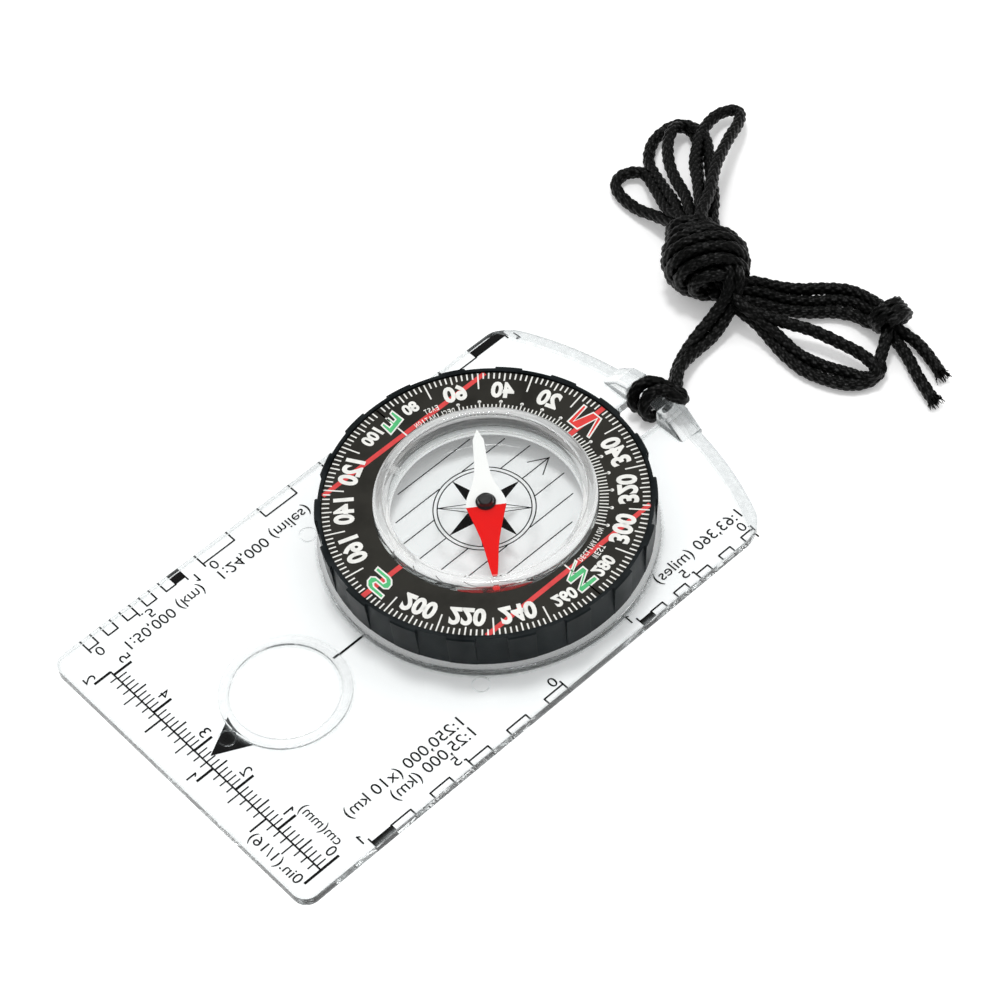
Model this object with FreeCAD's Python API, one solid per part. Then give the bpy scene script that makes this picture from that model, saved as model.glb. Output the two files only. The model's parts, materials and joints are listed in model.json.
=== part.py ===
import FreeCAD, Part
import math
import os

# Baseplate compass, millimetres.
# Frame: origin on the dial's turning axis at the plate's underside, +Z up,
# +Y along the plate towards the lanyard end, so the ruler end is at -Y.

Vector = FreeCAD.Vector
X_AXIS = Vector(1, 0, 0)
Z_AXIS = Vector(0, 0, 1)

# ---- driving dimensions: plate ----
PLATE_WIDTH = 61.6
PLATE_THICK = 1.8
RULER_END_Y = -66.1
RULER_CORNER_R = 2.5
ARCH_TOP_Y = 39.5
ARCH_R = 64.0
ARCH_CORNER_R = 6.5
ARCH_BEVEL_WIDTH = 2.2
ARCH_BEVEL_DEPTH = 0.7

# raised round seat that the dial turns on
SEAT_R = 27.8
SEAT_TOP = 3.6
SEAT_ROUND = 0.8
HOUSING_HOLE_R = 22.0
RING_POCKET_R = 23.3
RING_POCKET_DEPTH = 1.2

# magnifier moulded into the plate
LENS_Y = -43.4
LENS_R = 8.9
LENS_CROWN = 0.65
LENS_RIM_R = 10.6
LENS_RIM_TOP = 2.3
LENS_RIM_ROUND = 0.3

# round marks left by the mould's ejector pins
WITNESS_R = 1.5
WITNESS_LINE = 0.2
WITNESS_DEPTH = 0.12
WITNESS_PLACES = [(0.0, -55.3), (20.7, -20.9), (-20.7, -20.9)]

# lanyard bridge at the arched end
NOTCH_HALF = 3.5
NOTCH_START_Y = 30.6
PAD_OUTER_X = 9.4
PAD_Y = (34.6, 39.2)
PAD_TOP = 4.9
PAD_SHOULDER = (6.2, 4.4)
PAD_ROUND = 0.5
BAR_Y = 37.2
BAR_Z = 3.5
BAR_R = 1.4

# ---- driving dimensions: dial ----
BEZEL_BOTTOM = 3.7
BEZEL_WALL_R = 26.95
BEZEL_WALL_THICK = 1.55
BEZEL_LIP_IN_R = 26.35
BEZEL_LIP_TOP = 10.75
DECK_TOP = 10.0
DECK_THICK = 1.1
GRIP_COUNT = 18
GRIP_R = 27.45
GRIP_ANGLE = 9.3
GRIP_PHASE = -1.0
SLEEVE_IN_R = 18.05
SLEEVE_OUT_R = 19.6
LEDGE_IN_R = 16.6
LEDGE_BOTTOM = 3.0
LEDGE_TOP = 3.9
SKIRT_OUT_R = 21.94
SKIRT_IN_R = 20.6
SKIRT_BOTTOM = 0.35
GROOVE_R = 21.2
GROOVE_Z = (0.5, 1.1)
SNAP_RING_R = (21.25, 23.1)
SNAP_RING_Z = (0.55, 1.05)
SNAP_RING_GAP_DEG = 14.0
CARD_R = (18.1, 26.3)
CARD_THICK = 0.4

# ---- driving dimensions: liquid capsule ----
CAPSULE_R = 18.0
CAPSULE_IN_R = 15.6
CAPSULE_TOP = 12.2
CAPSULE_CENTRE_TOP = 11.8
CAPSULE_RIM_R = 16.3
CAPSULE_CEILING = 10.9
CAPSULE_EDGE_ROUND = 0.8
CAPSULE_JOINT_Z = 4.7
FLOOR_TOP = 5.2
GASKET_R = (16.2, 17.4)
GASKET_DEPTH = 0.6
GASKET_PLAY = 0.05
PLUG_R = 0.8
PLUG_Z = 7.6
PLUG_ANGLE = 200.0
BOSS_R = 1.4
BOSS_TOP = 6.4

# ---- driving dimensions: needle and its bearing ----
PIN_R = 0.5
PIN_BOTTOM = 4.3
PIN_SHOULDER = 8.2
PIN_TIP_Z = 9.4
PIN_TIP_R = 0.06
NEEDLE_Z = 8.4
NEEDLE_THICK = 0.3
NEEDLE_HALF_LENGTH = 14.9
NEEDLE_HEADING = 127.2
NEEDLE_WIDEST_AT = 0.7
HUB_FOOT_R = 1.65
HUB_TOP_R = 1.2
HUB_TOP = 10.3
HUB_SPIGOT_R = 1.1
HUB_SPIGOT_BOTTOM = 8.1
JEWEL_R = 0.75
JEWEL_Z = (8.3, 9.9)
JEWEL_CUP_R = 0.66
JEWEL_CUP_TOP = 9.5
FLUID_GAP = 0.05
NEEDLE_SWEEP_R = 15.1
NEEDLE_SWEEP_Z = (7.9, 10.5)

# ---- driving dimensions: lanyard cord ----
CORD_R = 1.2
CORD_BEND_PROUD = 0.04
HITCH_IN_R = 1.46
HITCH_OUT_R = 3.4
HITCH_HALF = 3.1
HITCH_ROUND = 0.8
LEAD_START_AHEAD = 3.0
HANK_CENTRE = Vector(-12.3, 62.5, 6.4)
HANK_HALF_LENGTH = 6.4
HANK_R = 6.2
HANK_HEADING = -25.0
HANK_ROUND = 2.4
KNOT_CENTRE = Vector(16.7, 76.7, 3.2)
KNOT_R = 3.0
KNOT_HALF_LENGTH = 2.6
KNOT_HEADING = -12.0
KNOT_ROUND = 1.4


def box(low, high):
    """Box between two corners."""
    size = [high[i] - low[i] for i in range(3)]
    return Part.makeBox(size[0], size[1], size[2], Vector(*low))


def ring(inner_r, outer_r, bottom, top):
    """Plain ring about the dial axis."""
    return revolved([(inner_r, bottom), (outer_r, bottom), (outer_r, top), (inner_r, top)])


def revolved(profile, angle=360.0):
    """Solid of revolution about Z from (radius, height) corners."""
    corners = [Vector(r, 0, z) for r, z in profile]
    wire = Part.makePolygon(corners + corners[:1])
    return Part.Face(wire).revolve(Vector(), Z_AXIS, angle)


def disc(radius, bottom, top, x=0.0, y=0.0):
    """Upright cylinder."""
    return Part.makeCylinder(radius, top - bottom, Vector(x, y, bottom))


def circles_at(shape, radius, height):
    """Circular edges of a given radius at a given height."""
    found = []
    for edge in shape.Edges:
        curve = edge.Curve
        if not isinstance(curve, Part.Circle):
            continue
        if abs(curve.Radius - radius) < 0.01 and abs(curve.Center.z - height) < 0.01:
            found.append(edge)
    return found


def upright_edges(shape, x, y):
    """Straight upright edges standing at a given place."""
    found = []
    for edge in shape.Edges:
        ends = [v.Point for v in edge.Vertexes]
        if len(ends) != 2 or abs(ends[0].z - ends[1].z) < 0.5:
            continue
        if all(abs(p.x - x) < 0.01 and abs(p.y - y) < 0.01 for p in ends):
            found.append(edge)
    return found


def turned(shape, degrees):
    """Copy turned about the dial axis."""
    copy = shape.copy()
    copy.rotate(Vector(), Z_AXIS, degrees)
    return copy


def arch_corner_y():
    """Height along Y where the arch meets the straight sides."""
    half = PLATE_WIDTH / 2
    return ARCH_TOP_Y - ARCH_R + math.sqrt(ARCH_R ** 2 - half ** 2)


def plate_blank():
    """Plate outline extruded, with its four corners rounded."""
    half = PLATE_WIDTH / 2
    side_y = arch_corner_y()
    ruler_left = Vector(-half, RULER_END_Y, 0)
    ruler_right = Vector(half, RULER_END_Y, 0)
    arch_right = Vector(half, side_y, 0)
    arch_left = Vector(-half, side_y, 0)
    arch = Part.Arc(arch_right, Vector(0, ARCH_TOP_Y, 0), arch_left).toShape()
    wire = Part.Wire([
        Part.makeLine(ruler_left, ruler_right),
        Part.makeLine(ruler_right, arch_right),
        arch,
        Part.makeLine(arch_left, ruler_left),
    ])
    blank = Part.Face(wire).extrude(Vector(0, 0, PLATE_THICK))
    for x in (-half, half):
        blank = blank.makeFillet(RULER_CORNER_R, upright_edges(blank, x, RULER_END_Y))
        blank = blank.makeFillet(ARCH_CORNER_R, upright_edges(blank, x, side_y))
    return blank


def arch_bevel():
    """Conical cutter that slopes the top of the arched end."""
    far = ARCH_R + 1.0
    slope = ARCH_BEVEL_DEPTH / ARCH_BEVEL_WIDTH
    cutter = revolved([
        (ARCH_R - ARCH_BEVEL_WIDTH, PLATE_THICK),
        (far, PLATE_THICK - slope * (far - ARCH_R + ARCH_BEVEL_WIDTH)),
        (far, PLATE_THICK + 1.0),
        (ARCH_R - ARCH_BEVEL_WIDTH, PLATE_THICK + 1.0),
    ])
    cutter.translate(Vector(0, ARCH_TOP_Y - ARCH_R, 0))
    return cutter


def magnifier():
    """Plano-convex lens with the low rim around it."""
    sphere_r = (LENS_R ** 2 + LENS_CROWN ** 2) / (2 * LENS_CROWN)
    centre = Vector(0, LENS_Y, PLATE_THICK + LENS_CROWN - sphere_r)
    crown = Part.makeSphere(sphere_r, centre).common(
        disc(LENS_R, 0.5, PLATE_THICK + LENS_CROWN + 0.1, 0, LENS_Y))
    rim = disc(LENS_RIM_R, 0.5, LENS_RIM_TOP, 0, LENS_Y)
    rim = rim.makeFillet(LENS_RIM_ROUND, circles_at(rim, LENS_RIM_R, LENS_RIM_TOP))
    return rim.cut(disc(LENS_R, PLATE_THICK, LENS_RIM_TOP + 1, 0, LENS_Y)).fuse(crown)


def lanyard_pads():
    """Two ramps that rise towards the notch and lift the lanyard bar clear of the plate."""
    pads = []
    for side in (-1, 1):
        corners = [
            (side * NOTCH_HALF, 0.5),
            (side * PAD_OUTER_X, 0.5),
            (side * PAD_OUTER_X, PLATE_THICK),
            (side * PAD_SHOULDER[0], PAD_SHOULDER[1]),
            (side * (NOTCH_HALF + 0.8), PAD_TOP),
            (side * NOTCH_HALF, PAD_TOP),
        ]
        outline = [Vector(x, PAD_Y[0], z) for x, z in corners]
        face = Part.Face(Part.makePolygon(outline + outline[:1]))
        pad = face.extrude(Vector(0, PAD_Y[1] - PAD_Y[0], 0))
        sloping = [e for e in pad.Edges
                   if min(v.Z for v in e.Vertexes) > PLATE_THICK - 0.01
                   and max(v.Z for v in e.Vertexes) - min(v.Z for v in e.Vertexes) > 0.3
                   and e.BoundBox.YLength < 0.01]
        pads.append(pad.makeFillet(PAD_ROUND, sloping))
    return pads


def make_baseplate():
    plate = plate_blank().cut(arch_bevel())
    seat = disc(SEAT_R, 0, SEAT_TOP)
    seat = seat.makeFillet(SEAT_ROUND, circles_at(seat, SEAT_R, SEAT_TOP))
    plate = plate.fuse([seat, magnifier()] + lanyard_pads())
    plate = plate.cut(box((-NOTCH_HALF, NOTCH_START_Y, -1), (NOTCH_HALF, ARCH_TOP_Y + 1, 9)))
    bar = Part.makeCylinder(BAR_R, 2 * NOTCH_HALF + 1, Vector(-NOTCH_HALF - 0.5, BAR_Y, BAR_Z), X_AXIS)
    plate = plate.fuse(bar)
    plate = plate.cut(disc(HOUSING_HOLE_R, -1, SEAT_TOP + 1))
    plate = plate.cut(disc(RING_POCKET_R, -1, RING_POCKET_DEPTH))
    for x, y in WITNESS_PLACES:
        mark = disc(WITNESS_R, PLATE_THICK - WITNESS_DEPTH, PLATE_THICK + 1, x, y)
        mark = mark.cut(disc(WITNESS_R - WITNESS_LINE, -1, PLATE_THICK + 2, x, y))
        plate = plate.cut(mark)
    return plate.removeSplitter()


def make_bezel_ring():
    """Knurled ring: deck under the card, capsule sleeve, and skirt through the plate."""
    body = revolved([
        (LEDGE_IN_R, LEDGE_BOTTOM),
        (SKIRT_IN_R, LEDGE_BOTTOM),
        (SKIRT_IN_R, SKIRT_BOTTOM),
        (SKIRT_OUT_R, SKIRT_BOTTOM),
        (SKIRT_OUT_R, GROOVE_Z[0]),
        (GROOVE_R, GROOVE_Z[0]),
        (GROOVE_R, GROOVE_Z[1]),
        (SKIRT_OUT_R, GROOVE_Z[1]),
        (SKIRT_OUT_R, LEDGE_TOP),
        (SLEEVE_OUT_R, LEDGE_TOP),
        (SLEEVE_OUT_R, DECK_TOP - DECK_THICK),
        (BEZEL_WALL_R - BEZEL_WALL_THICK, DECK_TOP - DECK_THICK),
        (BEZEL_WALL_R - BEZEL_WALL_THICK, BEZEL_BOTTOM),
        (BEZEL_WALL_R, BEZEL_BOTTOM),
        (BEZEL_WALL_R, BEZEL_LIP_TOP),
        (BEZEL_LIP_IN_R, BEZEL_LIP_TOP),
        (BEZEL_LIP_IN_R, DECK_TOP),
        (SLEEVE_IN_R, DECK_TOP),
        (SLEEVE_IN_R, LEDGE_TOP),
        (LEDGE_IN_R, LEDGE_TOP),
    ])
    pad = revolved([
        (BEZEL_WALL_R - 0.3, BEZEL_BOTTOM),
        (BEZEL_WALL_R + 0.05, BEZEL_BOTTOM),
        (GRIP_R, BEZEL_LIP_TOP - 0.25),
        (GRIP_R - 0.2, BEZEL_LIP_TOP),
        (BEZEL_WALL_R - 0.3, BEZEL_LIP_TOP),
    ], GRIP_ANGLE)
    step = 360.0 / GRIP_COUNT
    first = 90.0 + GRIP_PHASE - GRIP_ANGLE / 2
    pads = [turned(pad, first + step * i) for i in range(GRIP_COUNT)]
    return body.fuse(pads).removeSplitter()


def make_dial_card():
    return ring(CARD_R[0], CARD_R[1], DECK_TOP, DECK_TOP + CARD_THICK)


def make_snap_ring():
    """Split spring ring that keeps the bezel in the plate."""
    corners = [
        (SNAP_RING_R[0], SNAP_RING_Z[0]),
        (SNAP_RING_R[1], SNAP_RING_Z[0]),
        (SNAP_RING_R[1], SNAP_RING_Z[1]),
        (SNAP_RING_R[0], SNAP_RING_Z[1]),
    ]
    return turned(revolved(corners, 360.0 - SNAP_RING_GAP_DEG), 270.0 + SNAP_RING_GAP_DEG / 2)


def plug_cylinder(radius, start, end):
    """Cylinder along the filling hole, between two distances from the axis."""
    body = Part.makeCylinder(radius, end - start, Vector(start, 0, PLUG_Z), X_AXIS)
    return turned(body, PLUG_ANGLE)


def make_capsule_dome():
    dome = revolved([
        (CAPSULE_IN_R, CAPSULE_JOINT_Z),
        (CAPSULE_R, CAPSULE_JOINT_Z),
        (CAPSULE_R, CAPSULE_TOP),
        (CAPSULE_RIM_R, CAPSULE_TOP),
        (CAPSULE_RIM_R, CAPSULE_CENTRE_TOP),
        (0, CAPSULE_CENTRE_TOP),
        (0, CAPSULE_CEILING),
        (CAPSULE_IN_R, CAPSULE_CEILING),
    ])
    dome = dome.makeFillet(CAPSULE_EDGE_ROUND, circles_at(dome, CAPSULE_R, CAPSULE_TOP))
    dome = dome.makeFillet(0.35, circles_at(dome, CAPSULE_RIM_R, CAPSULE_TOP))
    dome = dome.cut(ring(GASKET_R[0], GASKET_R[1], 0, CAPSULE_JOINT_Z + GASKET_DEPTH))
    return dome.cut(plug_cylinder(PLUG_R, CAPSULE_IN_R - 1, CAPSULE_R + 1))


def make_filler_plug():
    return plug_cylinder(PLUG_R, CAPSULE_IN_R + 0.15, CAPSULE_R - 0.1)


def make_capsule_seal():
    top = CAPSULE_JOINT_Z + GASKET_DEPTH - GASKET_PLAY
    return ring(GASKET_R[0] + GASKET_PLAY, GASKET_R[1] - GASKET_PLAY, CAPSULE_JOINT_Z, top)


def make_capsule_base():
    """Floor disc with the boss that holds the pivot pin."""
    floor = revolved([
        (0, LEDGE_TOP),
        (CAPSULE_R, LEDGE_TOP),
        (CAPSULE_R, CAPSULE_JOINT_Z),
        (CAPSULE_IN_R - 0.05, CAPSULE_JOINT_Z),
        (CAPSULE_IN_R - 0.05, FLOOR_TOP),
        (BOSS_R, FLOOR_TOP),
        (BOSS_R, BOSS_TOP),
        (0, BOSS_TOP),
    ])
    return floor.cut(disc(PIN_R, PIN_BOTTOM, BOSS_TOP + 1))


def make_damping_fluid():
    """Liquid between floor and ceiling, less the space the needle sweeps."""
    outer = CAPSULE_IN_R - 2 * FLUID_GAP
    bottom = FLOOR_TOP + FLUID_GAP
    top = CAPSULE_CEILING - FLUID_GAP
    inner = BOSS_R + FLUID_GAP
    return revolved([
        (inner, bottom),
        (outer, bottom),
        (outer, top),
        (0, top),
        (0, NEEDLE_SWEEP_Z[1]),
        (NEEDLE_SWEEP_R, NEEDLE_SWEEP_Z[1]),
        (NEEDLE_SWEEP_R, NEEDLE_SWEEP_Z[0]),
        (inner, NEEDLE_SWEEP_Z[0]),
    ])


def make_pivot_pin():
    return revolved([
        (0, PIN_BOTTOM),
        (PIN_R, PIN_BOTTOM),
        (PIN_R, PIN_SHOULDER),
        (PIN_TIP_R, PIN_TIP_Z),
        (0, PIN_TIP_Z),
    ])


def north_side():
    """Distance along the north end and half width there, from the widest place beside the hub."""
    return [(NEEDLE_WIDEST_AT, 3.25), (3.0, 2.6), (6.0, 1.8), (9.0, 1.18), (12.0, 0.8),
            (NEEDLE_HALF_LENGTH, 0.35)]


def south_side():
    """The same for the south end, up to the shoulders of its point."""
    return [(-NEEDLE_WIDEST_AT, 3.25), (0.6, 3.1), (2.0, 2.6), (4.0, 1.75), (7.0, 1.2), (10.0, 1.0),
            (12.7, 0.9)]


def needle_edge(side, hand, end):
    """Smooth edge through one side's places; end is +1 for the north end and -1 for the south."""
    curve = Part.BSplineCurve()
    curve.interpolate([Vector(hand * width, end * along, NEEDLE_Z) for along, width in side])
    return curve.toShape()


def make_needle():
    """Flat magnetised pointer, pointing along its heading east of the arch end."""
    edges = []
    for hand in (-1, 1):
        edges.append(needle_edge(north_side(), hand, 1))
        edges.append(needle_edge(south_side(), hand, -1))
    tip_y, tip_half = north_side()[-1]
    edges.append(Part.makeLine(Vector(-tip_half, tip_y, NEEDLE_Z), Vector(tip_half, tip_y, NEEDLE_Z)))
    shoulder_y, shoulder_half = south_side()[-1]
    tail = Vector(0, -NEEDLE_HALF_LENGTH, NEEDLE_Z)
    for hand in (-1, 1):
        edges.append(Part.makeLine(Vector(hand * shoulder_half, -shoulder_y, NEEDLE_Z), tail))
    outline = Part.Wire(Part.__sortEdges__(edges))
    blade = Part.Face(outline).extrude(Vector(0, 0, NEEDLE_THICK))
    blade = blade.cut(disc(HUB_SPIGOT_R, NEEDLE_Z - 1, NEEDLE_Z + 1))
    return turned(blade, -NEEDLE_HEADING)


def make_needle_hub():
    top = NEEDLE_Z + NEEDLE_THICK
    hub = revolved([
        (0, HUB_SPIGOT_BOTTOM),
        (HUB_SPIGOT_R, HUB_SPIGOT_BOTTOM),
        (HUB_SPIGOT_R, top),
        (HUB_FOOT_R, top),
        (HUB_FOOT_R, top + 0.35),
        (HUB_TOP_R + 0.15, top + 0.7),
        (HUB_TOP_R, HUB_TOP),
        (0, HUB_TOP),
    ])
    hub = hub.makeFillet(0.3, circles_at(hub, HUB_TOP_R, HUB_TOP))
    return hub.cut(disc(JEWEL_R, HUB_SPIGOT_BOTTOM - 1, JEWEL_Z[1]))


def make_jewel_bearing():
    """Hard cup that rides on the pin's point."""
    return revolved([
        (JEWEL_CUP_R, JEWEL_Z[0]),
        (JEWEL_R, JEWEL_Z[0]),
        (JEWEL_R, JEWEL_Z[1]),
        (0, JEWEL_Z[1]),
        (0, JEWEL_CUP_TOP),
    ])


def bend_ball(place, before, after):
    """Ball at a bend of the cord, its seam turned away from both lengths that meet there."""
    ball = Part.makeSphere(CORD_R + CORD_BEND_PROUD)
    outward = (before - after).normalize()
    across = before.cross(after)
    if across.Length < 1e-6:
        across = before.cross(Z_AXIS)
    across = across.normalize()
    turn = FreeCAD.Rotation(outward, across.cross(outward), across, "XZY")
    ball.Placement = FreeCAD.Placement(place, turn)
    return ball


def cord_run(points):
    """Round cord as straight lengths joined by ball bends."""
    places = [Vector(*p) for p in points]
    ways = [(end - start).normalize() for start, end in zip(places, places[1:])]
    balls = [bend_ball(places[0], ways[0].negative(), ways[0])]
    for place, before, after in zip(places[1:], ways, ways[1:]):
        balls.append(bend_ball(place, before, after))
    balls.append(bend_ball(places[-1], ways[-1], ways[-1].negative()))
    lengths = [Part.makeCylinder(CORD_R, (end - start).Length, start, end - start)
               for start, end in zip(places, places[1:])]
    return balls[0].fuse(balls[1:] + lengths)


def barrel(centre, radius, half_length, heading, blend):
    """Cylinder lying flat with rounded ends."""
    body = Part.makeCylinder(radius, 2 * half_length, Vector(-half_length, 0, 0), X_AXIS)
    body = body.makeFillet(blend, [e for e in body.Edges if isinstance(e.Curve, Part.Circle)])
    body.rotate(Vector(), Z_AXIS, heading)
    body.translate(centre)
    return body


def cord_runs():
    """Centre lines of the runs outside the hank: three loops, two loops, and the tails."""
    far_loop = [
        (-15.3, 65.5, 7.6), (-22.1, 72.9, 8.4), (-27.1, 79.9, 7.0), (-33.5, 91.4, 3.5), (-36.4, 94.0, 2.3),
        (-38.2, 91.2, 2.6), (-34.6, 82.8, 4.6), (-26.1, 74.3, 7.2), (-15.6, 64.6, 7.0),
    ]
    middle_loop = [
        (-15.0, 66.2, 5.6), (-22.3, 74.6, 5.4), (-31.5, 83.2, 3.8), (-38.8, 86.2, 2.2), (-41.9, 84.0, 1.7),
        (-41.6, 78.2, 1.5), (-36.0, 73.5, 2.4), (-25.5, 68.5, 5.0), (-15.6, 64.0, 5.4),
    ]
    near_loop = [
        (-15.8, 63.6, 6.0), (-26.7, 67.7, 4.8), (-33.1, 70.8, 3.2), (-38.6, 72.4, 1.7), (-40.8, 69.6, 1.4),
        (-38.4, 66.8, 1.4), (-28.7, 65.6, 1.9), (-15.8, 62.8, 3.6),
    ]
    tail_left = [
        (-9.0, 63.4, 6.0), (-4.4, 66.5, 4.6), (0.8, 71.8, 2.6), (5.2, 77.0, 2.0), (10.0, 78.5, 2.4),
        (16.4, 77.8, 3.4),
    ]
    tail_right = [
        (-9.4, 62.4, 4.6), (-1.2, 65.6, 3.0), (4.6, 70.4, 1.6), (10.0, 74.6, 1.6), (16.4, 76.0, 2.8),
    ]
    near_return = [
        (-9.2, 60.6, 4.4), (-2.4, 60.2, 2.8), (6.0, 60.2, 1.6), (12.5, 59.9, 1.4), (19.6, 62.4, 1.4),
        (22.3, 66.2, 1.6), (19.8, 68.2, 2.6), (11.0, 66.4, 3.2), (2.0, 62.8, 4.8), (-9.2, 61.4, 6.0),
    ]
    end_one = [(16.9, 77.3, 3.1), (20.2, 77.2, 1.9), (25.2, 76.9, 1.4), (30.2, 75.0, 1.4)]
    end_two = [(17.1, 76.1, 2.8), (21.0, 74.8, 1.5), (27.0, 72.3, 1.4), (33.6, 69.5, 1.4)]
    return [far_loop, middle_loop, near_loop, tail_left, tail_right, near_return, end_one, end_two]


def lead_runs():
    """The doubled lead from the hitch up into the near end of the hank."""
    start_y = BAR_Y + LEAD_START_AHEAD
    left = [(-1.8, start_y, 3.0), (-1.9, 43.6, 1.8), (-5.0, 51.0, 1.8), (-6.6, 57.0, 4.2), (-8.2, 60.6, 7.4)]
    right = [(1.2, start_y, 3.2), (0.4, 43.8, 2.2), (-2.4, 50.6, 1.6), (-3.4, 56.8, 2.8), (-8.0, 62.0, 6.8)]
    return [left, right]


def make_hitch():
    """The turns round the bar, as one collar that swings on it."""
    return barrel(Vector(0, BAR_Y, BAR_Z), HITCH_OUT_R, HITCH_HALF, 0.0, HITCH_ROUND)


def make_lanyard_cord():
    """One braided cord: hitch on the bar, doubled lead, wrapped hank, loops, knot and tails."""
    cord = barrel(HANK_CENTRE, HANK_R, HANK_HALF_LENGTH, HANK_HEADING, HANK_ROUND)
    for run in lead_runs() + cord_runs():
        cord = cord.fuse(cord_run(run))
    cord = cord.fuse(barrel(KNOT_CENTRE, KNOT_R, KNOT_HALF_LENGTH, KNOT_HEADING, KNOT_ROUND))
    cord = cord.fuse(make_hitch())
    hole = Part.makeCylinder(HITCH_IN_R, 4 * HITCH_HALF, Vector(-2 * HITCH_HALF, BAR_Y, BAR_Z), X_AXIS)
    return cord.cut(hole)


MAKERS = {
    "baseplate": make_baseplate,
    "bezel_ring": make_bezel_ring,
    "dial_card": make_dial_card,
    "snap_ring": make_snap_ring,
    "capsule_dome": make_capsule_dome,
    "capsule_base": make_capsule_base,
    "capsule_seal": make_capsule_seal,
    "filler_plug": make_filler_plug,
    "damping_fluid": make_damping_fluid,
    "pivot_pin": make_pivot_pin,
    "needle": make_needle,
    "needle_hub": make_needle_hub,
    "jewel_bearing": make_jewel_bearing,
    "lanyard_cord": make_lanyard_cord,
}


os.makedirs("parts", exist_ok=True)
for node, make in MAKERS.items():
    make().exportStep("parts/" + node + ".step")
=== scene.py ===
import json
import random
from math import cos, pi, radians, sin, sqrt, tau

import bmesh
import bpy
import numpy as np
from mathutils import Matrix, Vector


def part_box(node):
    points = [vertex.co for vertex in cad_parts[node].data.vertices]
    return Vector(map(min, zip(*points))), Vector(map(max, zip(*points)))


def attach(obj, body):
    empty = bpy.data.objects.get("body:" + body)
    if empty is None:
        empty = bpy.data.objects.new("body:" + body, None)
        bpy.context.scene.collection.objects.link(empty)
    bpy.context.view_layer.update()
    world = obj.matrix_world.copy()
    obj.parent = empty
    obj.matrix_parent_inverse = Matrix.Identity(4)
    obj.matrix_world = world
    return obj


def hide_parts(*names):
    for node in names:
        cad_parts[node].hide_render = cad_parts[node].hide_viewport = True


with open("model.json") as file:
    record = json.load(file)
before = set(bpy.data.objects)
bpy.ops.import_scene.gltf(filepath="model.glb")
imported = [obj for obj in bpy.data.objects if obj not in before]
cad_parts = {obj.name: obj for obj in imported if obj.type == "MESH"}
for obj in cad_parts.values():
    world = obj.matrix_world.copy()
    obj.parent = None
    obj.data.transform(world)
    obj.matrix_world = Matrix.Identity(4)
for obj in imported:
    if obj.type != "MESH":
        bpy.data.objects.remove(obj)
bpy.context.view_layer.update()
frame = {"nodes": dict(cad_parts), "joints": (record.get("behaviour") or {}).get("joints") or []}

MM = 0.001

# The lettering runs the way it was seen: as in a looking glass. Set to 1 for right-reading print.
PRINT_HAND = -1

# ---- places read from the frame, in millimetres ----


def span(node):
    """Lowest and highest corner of a CAD node, in millimetres."""
    low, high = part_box(node)
    return [c / MM for c in low], [c / MM for c in high]


PLATE_HALF, ARCH_TOP_Y = span("baseplate")[1][:2]
CARD_TOP = span("dial_card")[1][2]
JOINT_Z = span("capsule_dome")[0][2]
FLUID_LOW, FLUID_HIGH = span("damping_fluid")
WELL_R = FLUID_HIGH[0]
FLUID_GAP = 0.05
FLOOR_TOP = FLUID_LOW[2] - FLUID_GAP
CEILING = FLUID_HIGH[2] + FLUID_GAP
PLUG_LOW, PLUG_HIGH = span("filler_plug")
PLUG_CENTRE = [(low + high) / 2 for low, high in zip(PLUG_LOW, PLUG_HIGH)]
PLUG_WAY = Vector(PLUG_CENTRE[:2]).normalized()
PLUG_Z = PLUG_CENTRE[2]
PLUG_R = (PLUG_HIGH[2] - PLUG_LOW[2]) / 2
LANYARD_SWING = next(j for j in frame["joints"] if j["name"] == "lanyard_swing")
BAR_Y = LANYARD_SWING["pos_m"][1] / MM

# ---- shapes that a finish or the print follows, in millimetres ----

ARCH_R = 64.0
ARCH_SLOPE = 2.2
EDGE_ROUND = 1.3
LENS_Y = -43.4
LENS_R = 8.9
LENS_RIM_R = 10.6
NEEDLE_HEADING = 127.2
PAINT_LINE = 0.75
PAINT_LINE_RAGGED = 0.25

# ---- clear plastic ----

CLEAR_IOR = 1.49
WETTED_IOR = 1.03
# Painted shade: how much speckled grey is painted on the slope along the arched end and on the magnifier's
# rim.
SLOPE_SHADE = 0.5
LENS_RIM_SHADE = 0.22
# Painted light: share of whitish grey on the capsule's thick wall, standing for the white paper seen
# through it.
WALL_PAINTED_LIGHT = 0.18
GLUE_MILK = 0.75


# ---- node graphs ----

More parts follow.
